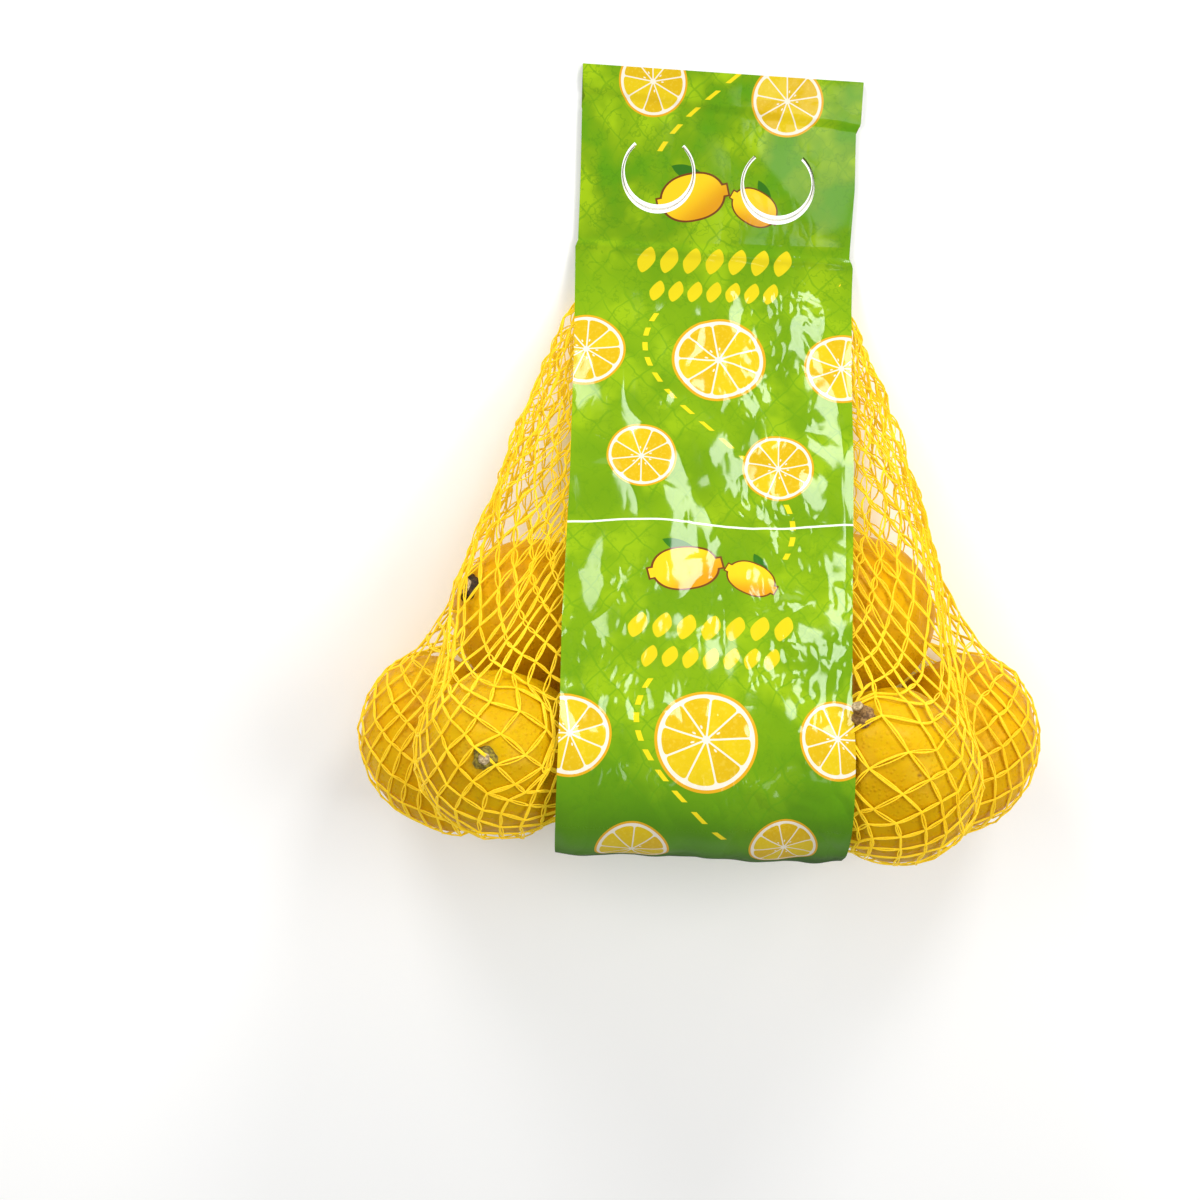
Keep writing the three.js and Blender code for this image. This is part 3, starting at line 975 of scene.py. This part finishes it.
def make_film():
    placed, uv = film_points()
    rows = len(placed)
    deselect()
    bpy.ops.mesh.primitive_grid_add(x_subdivisions=FILM_COLUMNS, y_subdivisions=rows - 1, size=MM)
    film = bpy.context.object
    film.name = "film_label_sheet"
    if len(film.data.vertices) != len(uv):
        raise ValueError("the film's grid has another number of points")
    film.data.vertices.foreach_set("co", in_frame(placed).astype(np.float32).ravel())
    corner = np.empty(len(film.data.loops), np.int32)
    film.data.loops.foreach_get("vertex_index", corner)
    film.data.uv_layers.active.data.foreach_set("uv", uv[corner].astype(np.float32).ravel())
    film.data.update()
    join_ends(film, rows)
    wall = film.modifiers.new("thickness", "SOLIDIFY")
    wall.thickness = FILM_SHEET * MM
    wall.offset = 0
    apply_modifiers(film)
    cut_slits(film)
    pick(film)
    bpy.ops.object.shade_smooth_by_angle(angle=math.radians(50))
    hand_over(film, film_material(), "film_label")


def slit_cutter(x, y, narrower, low, high):
    first = math.pi / 2 + SLIT_OPENING / 2
    sweep = 2 * math.pi - SLIT_OPENING
    outline = []
    for sign in (1, -1):
        side = []
        for share in np.arange(SLIT_STEPS + 1) / SLIT_STEPS:
            angle = first + sweep * share
            half = SLIT_WIDTH / 2 * max(math.sin(math.pi * share) ** 2, SLIT_TIP_SHARE)
            radius = SLIT_RADIUS + sign * max(half - narrower, 0.2)
            side.append((x + radius * math.cos(angle), y + radius * math.sin(angle), low))
        outline.append(side if sign > 0 else side[::-1])
    ring = outline[0] + outline[1]
    last = len(ring) - 1
    mesh = bpy.data.meshes.new("slit_cutter")
    faces = [(i, i + 1, last - 1 - i, last - i) for i in range(SLIT_STEPS)]
    mesh.from_pydata([tuple(p) for p in in_frame(ring)], [], faces)
    cutter = add_object("slit_cutter", mesh)
    pick(cutter)
    edit("VERT")
    bpy.ops.mesh.extrude_region_move(TRANSFORM_OT_translate={"value": (0, 0, (high - low) * MM)})
    face_outward()
    return cutter


def cut_slits(film):
    for centre, sheet in itertools.product(SLIT_CENTRES, SLIT_SHEETS):
        cutter = slit_cutter(*centre, *sheet)
        cut = film.modifiers.new("slit", "BOOLEAN")
        cut.operation = "DIFFERENCE"
        cut.solver = "EXACT"
        cut.object = cutter
        apply_modifiers(film)
        bpy.data.objects.remove(cutter)


# Printed fruit slices: (x, length down the label, radius, turn)
SLICES = [
    (-25.1, 4.7, 12.6, 0.2), (24.2, 8.6, 13.1, 0.9),
    (-46.4, 106.2, 14.4, 0.1), (2.1, 108.6, 17.2, 0.33), (47.2, 110.6, 13.9, 0.7),
    (-25.3, 148.4, 12.6, 0.5), (23.7, 152.2, 12.8, 0.15),
    (-47.3, 257.8, 14.2, 0.3), (-1.4, 258.4, 17.4, 0.05), (44.3, 256.8, 13.9, 0.6),
    (26.6, 296.0, 12.2, 0.4), (-25.0, 298.0, 12.6, 0.8),
    (-46.4, 404.0, 14.2, 0.1), (1.5, 406.0, 17.2, 0.5), (46.0, 404.0, 13.9, 0.7),
    (-25.3, 446.0, 12.6, 0.2), (25.0, 444.0, 12.8, 0.9),
    (-46.4, 552.0, 14.2, 0.4), (1.5, 554.0, 17.2, 0.1), (46.0, 552.0, 13.9, 0.2),
]
WEDGES = 9
# shares of a slice's radius
CORE, PULP_END, RIND_START, HALF_WALL = 0.08, 0.87, 0.94, 0.018
PRINT_REPEAT = 148.0
PRINT_STARTS = [i * PRINT_REPEAT for i in range(4)]
# in each repeat: lemons as (x, length, size, lean), rows as (length, spacing, ovals, height)
PRINTED_LEMONS = [(-9.0, 45.0, 11.5, -0.25), (14.0, 48.0, 8.5, 0.5)]
OVAL_ROWS = [(68.5, 8.4, 7, 9.6), (80.3, 7.0, 7, 8.2)]
WAVE_REACH, WAVE_MIDDLE = 27.0, 2.0
DASH_REPEAT, DASH_SHARE, DASH_HALF_WIDTH = 6.4, 0.55, 0.95
WELD_AT, WELD_HALF_WIDTH = 175.0, 0.38
BACK_FROM = 300.0                # length from which the label is behind


def slice_print(film, at, ground):
    """Paints the cut fruit over a ground colour."""
    inside = local = turn = None
    for x, s, radius, start in SLICES:
        spot = film.vector("MULTIPLY_ADD", at, (1 / radius,) * 3, (-x / radius, -s / radius, 0))
        here = film.length(spot) < 1.0
        share = film.scaled(spot, here)
        inside = here if inside is None else inside + here
        local = share if local is None else film.vector("ADD", local, share)
        turn = here * start if turn is None else here.math("MULTIPLY_ADD", here, start, turn)
    out = film.length(local)
    px, ps, _ = film.parts(local)
    angle = px.math("ARCTAN2", ps, px) + turn + 7.0
    wedge = angle * (WEDGES / (2 * math.pi))
    share = wedge.fraction()
    spoke = (0.5 - (share - 0.5).absolute()) * out * (2 * math.pi / WEDGES)
    index = wedge.math("FLOOR", wedge) + turn * 37.0
    chance = film.node("TexWhiteNoise", {"W": index}, noise_dimensions="1D")
    flesh = film.mix(chance.fade(0.3, 0.7), "D2B60E", "CCA70A")
    vesicle = film.cloud(film.scaled(local, 5.0), 2.0, 2.0)
    flesh = film.mix(vesicle.fade(0.5, 0.7) * 0.25, flesh, "E2CC50")
    pip = film.point((share - 0.32) * out * 3.2, (out - 0.27) * 2.2)
    pips = (film.length(pip) < 0.085) * (chance > 0.45)
    pulp = (spoke > HALF_WALL) * (out < PULP_END) * (out > CORE)
    corner = (PULP_END - out).larger(0.0) * spoke
    pulp = pulp * (corner > 0.0012) * (1 - pips)
    whole = film.mix(pulp, "DFD8C6", flesh)
    whole = film.mix(out > RIND_START, whole, "D49E16")
    return film.mix(inside, ground, whole)


def fruit_motif(film, at, ground, x, s, size, lean):
    """Paints a whole lemon with two leaves, outlined."""
    c, n = math.cos(lean), math.sin(lean)
    moved = film.vector("SUBTRACT", at, (x, s, 0))
    u = film.vector("DOT_PRODUCT", moved, (c / size, n / size, 0), output="Value")
    v = film.vector("DOT_PRODUCT", moved, (-n / size, c / size, 0), output="Value")

    def disc(across, up, reach):
        return film.length(film.point(u - across, v - up)) < reach

    leaf_a = disc(-0.35, -0.15, 0.95) * disc(0.45, -1.35, 0.95)
    leaf_b = disc(0.1, 0.1, 0.85) * disc(-1.0, -1.1, 0.95)
    body = u.absolute().power(2.4) + (v * 1.42).absolute().power(2.0)
    tip = (v.absolute() < 0.16) * (u.absolute() < 1.13)
    lemon = ((body < 1.0) + tip).smaller(1.0)
    edge = ((body < 1.18) + (v.absolute() < 0.22) * (u.absolute() < 1.19)).smaller(1.0)
    shade = film.mix((u * 0.5 + v).fade(-0.3, 0.8), "EBC21A", "CF8E0E")
    painted = film.mix(leaf_a.larger(leaf_b), ground, "2F6B12")
    painted = film.mix(edge, painted, "6B3A14")
    return film.mix(lemon, painted, shade)


def oval_row(film, at, ground, s, step, count, height):
    """Paints a row of pointed ovals across the label."""
    x, length, _ = film.parts(at)
    u = ((x / step + 0.5).fraction() - 0.5) * 2.0
    v = (length - s) * (2.0 / height)
    centre = x - u * (step / 2)
    lean = u + v * 0.35
    oval = (lean.absolute() * 1.3).power(1.5) + v.absolute().power(1.5)
    mask = (oval < 1.0) * (centre.absolute() < (count / 2) * step)
    return film.mix(mask, ground, "D2BF12")


def ground_with_painted_light_and_shade(film, at, before_back):
    """The greens under the print, with painted light and shade: lighter patches of light through
    the film and on its wrinkles, painted shadows of the net's strands and of fine creases, and
    painted shade darkest where the label turns under.
    """
    x, length, _ = film.parts(at)
    broad = film.cloud(at, 0.028)
    patch = film.cloud(film.vector("ADD", at, (31, 7, 4)), 0.05, 3.0)
    upper = length.fade(90, 40)
    ground = film.mix(broad.fade(0.35, 0.65), "689202", "7AA004")
    for share, tone in (
        # lighter patches in the header are painted light coming through the film from behind, its
        # darker patches painted shade; the lighter patches further down are painted light on the
        # film's wrinkles
        (upper * patch.fade(0.47, 0.66), "96B808"),
        (upper * patch.fade(0.52, 0.34) * 0.8, "4E8E04"),
        ((1 - upper) * patch.fade(0.48, 0.66) * 0.6, "98B80C"),
        # painted shade: the front darkens down the label, darkest where it turns under
        (length.fade(236, 296) * before_back * 0.85, "468002"),
        (length.fade(294, 316) * before_back * 0.85, "1C3E00"),
    ):
        ground = film.mix(share, ground, tone)
    # painted shadows of the net's strands seen through the film: a faint diamond lattice of
    # darker lines
    net_shadow_u = (x / 11.0 + length / 13.0 + patch * 1.5).fraction()
    net_shadow_v = (x / 11.0 - length / 13.0 + patch * 1.5 + 9.0).fraction()
    line = (net_shadow_u - 0.5).absolute().smaller((net_shadow_v - 0.5).absolute()).fade(0.05, 0.02)
    ground = film.mix(line * patch.fade(0.4, 0.6, 0.1, 0.45), ground, "528A04")
    # painted shade in fine creases of the film: thin darker lines, stronger in the header
    crease_shade = (film.cloud(at, 0.11, 3.0, 0.6) - 0.5).absolute().fade(0.018, 0.004)
    return film.mix(crease_shade * length.fade(60, 110, 0.35, 0.2), ground, "457C02")


def dashed_wave(film, at, ground):
    x, length, _ = film.parts(at)
    top_dash = length < 31
    wave = ((length + top_dash * 62.0) * (2 * math.pi / PRINT_REPEAT) + 0.35).sine() * WAVE_REACH
    stretch = ((length - 138).absolute() < 50).larger((length - 263).absolute() < 28)
    dash = (x - wave - WAVE_MIDDLE).absolute() < DASH_HALF_WIDTH
    dash = dash * ((length / DASH_REPEAT).fraction() < DASH_SHARE)
    return film.mix(dash * stretch.larger(top_dash), ground, "E0CA14")


def crinkles(film, at):
    """Normals of folds too fine to model: broad ones all over and sharp ones in places."""
    x, length, _ = film.parts(at)
    crumpled = (x - 22.0).absolute().fade(8, 20, 1.0, 0.1).larger(length.fade(180, 205) * 0.8)
    crumpled = crumpled * film.cloud(at, 0.05, 1.0).fade(0.4, 0.56, 0.05, 1.0)
    drawn = film.vector("MULTIPLY_ADD", at, (1.0, 0.55, 0), (7, 90, 3))
    folds = (film.cloud(drawn, 0.045, 0.0) - 0.5).absolute() * 3.0
    folds = folds + (film.cloud(drawn, 0.15, 1.0) - 0.5).absolute() * 1.7 * crumpled
    return film.bump(folds * length.fade(58, 74, 0.2, 1.0), MM)


def film_material():
    # the film's emission lights only the painted white under the slits, as painted light
    film = Finish("printed_glossy_film", IOR=1.38, Emission_Strength=0.7)
    sheet = film.node("UVMap", uv_map="UVMap")
    at = film.vector("MULTIPLY_ADD", sheet, (UV_SPAN, UV_SPAN, 0), (-LABEL_WIDTH / 2, 0, 0))
    x, length, _ = film.parts(at)
    before_back = length.fade(396, 328)
    ground = dashed_wave(film, at, ground_with_painted_light_and_shade(film, at, before_back))
    for start in PRINT_STARTS:
        for across, s, size, lean in PRINTED_LEMONS:
            ground = fruit_motif(film, at, ground, across, s + start, size, lean)
        for s, step, count, height in OVAL_ROWS:
            ground = oval_row(film, at, ground, s + start, step, count, height)
    ground = slice_print(film, at, ground)
    weld = (length - WELD_AT - (x * 0.09).sine() * 1.1).absolute() < WELD_HALF_WIDTH
    ground = film.mix(weld * 0.85, ground, "F4F8E6")
    # white beside the slits: on the front sheet it is stretched film, on the back sheet under the
    # slits it is painted light
    white = slit_stretch_white_and_painted_light(film, at)
    ground = film.mix(white, ground, "FFFFFF")
    ground = film.mix((x > LABEL_WIDTH / 2 - 0.1) * (length > 380), ground, "F3DDE4")
    scuff = film.cloud(at, 1.4, 3.0, 0.7)
    under = length.fade(280, 306) * before_back
    # the back sheet's white under the slits glows: painted light, so the slits show bright though
    # the floor below lies in shade
    return film.finish(Base_Color=ground, Normal=crinkles(film, at),
                       Emission_Color=film.mix(white * (length > BACK_FROM), "000000", "FFFFFF"),
                       Roughness=scuff.fade(0.35, 0.8, 0.07, 0.15) + under * 0.8)


def slit_stretch_white_and_painted_light(film, at):
    """Where the film is stretched white along its carrying slits, and on the back sheet under
    each slit a wider white ring of painted light, so the slit shows bright.
    """
    white = None
    last = float(film_path()[2][-1])
    for (x, y), back in itertools.product(SLIT_CENTRES, (0, 1)):
        spot = film.vector("MULTIPLY_ADD", at, (1, -1 if back else 1, 0),
                           (-x, last + y if back else y, 0))
        px, ps, _ = film.parts(spot)
        turn = px.math("ARCTAN2", px, ps * -1.0).absolute()
        share = (turn - SLIT_OPENING / 2) * (math.pi / (2 * math.pi - SLIT_OPENING))
        taper = share.sine().power(2.0).larger(SLIT_TIP_SHARE) * (SLIT_WIDTH / 2)
        ring = (film.length(spot) - SLIT_RADIUS).absolute() < taper + SLIT_STRETCH * (1 + back)
        mask = ring * (turn > SLIT_OPENING / 2)
        white = mask if white is None else white.larger(mask)
    return white


make_film()


# ---- floor, light and camera ----

FLOOR_SIZE = 8.0
WORLD_STRENGTH = 0.41
# name: (place, what it points at, size, watts), in metres
LIGHTS = {
    "left_softbox": ((-0.72, 0.12, 0.85), (0, -0.02, 0.04), 0.6, 3.5),
    "right_softbox": ((0.72, 0.08, 0.85), (0.02, -0.03, 0.04), 0.55, 5.9),
    "header_left_strip": ((-0.5, 0.95, 0.5), (0, -0.05, 0.03), 0.4, 5.6),
    "header_right_strip": ((0.42, 1.0, 0.55), (0, -0.05, 0.03), 0.36, 6.0),
    "overhead_strip": ((0.15, 0.16, 1.05), (0, 0.1, 0.0), 0.12, 0.12),
}


def make_stage():
    deselect()
    bpy.ops.mesh.primitive_plane_add(size=FLOOR_SIZE, location=(0, 0, 0))
    floor = bpy.context.object
    floor.name = "floor"
    pale = Finish("pale_floor", Roughness=0.6)
    tone = pale.cloud(pale.place(), 2.0)
    floor.data.materials.append(pale.finish(Base_Color=pale.mix(tone, "FBFBFA", "FDFDFC")))
    world = bpy.data.worlds.new("studio")
    bpy.context.scene.world = world
    world.use_nodes = True
    sky = next(n for n in world.node_tree.nodes if n.type == "BACKGROUND")
    sky.inputs["Color"].default_value = (1.0, 1.0, 1.0, 1.0)
    sky.inputs["Strength"].default_value = WORLD_STRENGTH
    for name, (spot, aim, size, power) in LIGHTS.items():
        light = bpy.data.lights.new(name, "AREA")
        light.energy = power
        light.size = size
        lamp = add_object(name, light)
        lamp.location = spot
        lamp.rotation_mode = "QUATERNION"
        lamp.rotation_quaternion = (Vector(aim) - Vector(spot)).to_track_quat("-Z", "Y")
    bpy.context.scene.view_settings.view_transform = "Standard"


CAMERA_DISTANCE = 820.0
CAMERA_TILT = math.radians(9.0)
CAMERA_ROLL = math.radians(1.85)
CAMERA_AIM = (-38.37, -196.85, 0.0)
CAMERA_LENS = 64.55


def make_camera():
    right = Vector((1, 0, 0))
    up = Vector((0, math.cos(CAMERA_TILT), -math.sin(CAMERA_TILT)))
    back = Vector((0, math.sin(CAMERA_TILT), math.cos(CAMERA_TILT)))
    turned_right = right * math.cos(CAMERA_ROLL) + up * math.sin(CAMERA_ROLL)
    turned_up = up * math.cos(CAMERA_ROLL) - right * math.sin(CAMERA_ROLL)
    data = bpy.data.cameras.new("camera")
    data.sensor_width = 36.0
    data.lens = CAMERA_LENS
    data.clip_start, data.clip_end = 0.05, 20.0
    camera = add_object("camera", data)
    spot = Vector(in_frame(CAMERA_AIM)) + back * CAMERA_DISTANCE * MM
    turn = Matrix((turned_right, turned_up, back)).transposed().to_4x4()
    camera.matrix_world = Matrix.Translation(spot) @ turn
    bpy.context.scene.camera = camera


make_stage()
make_camera()
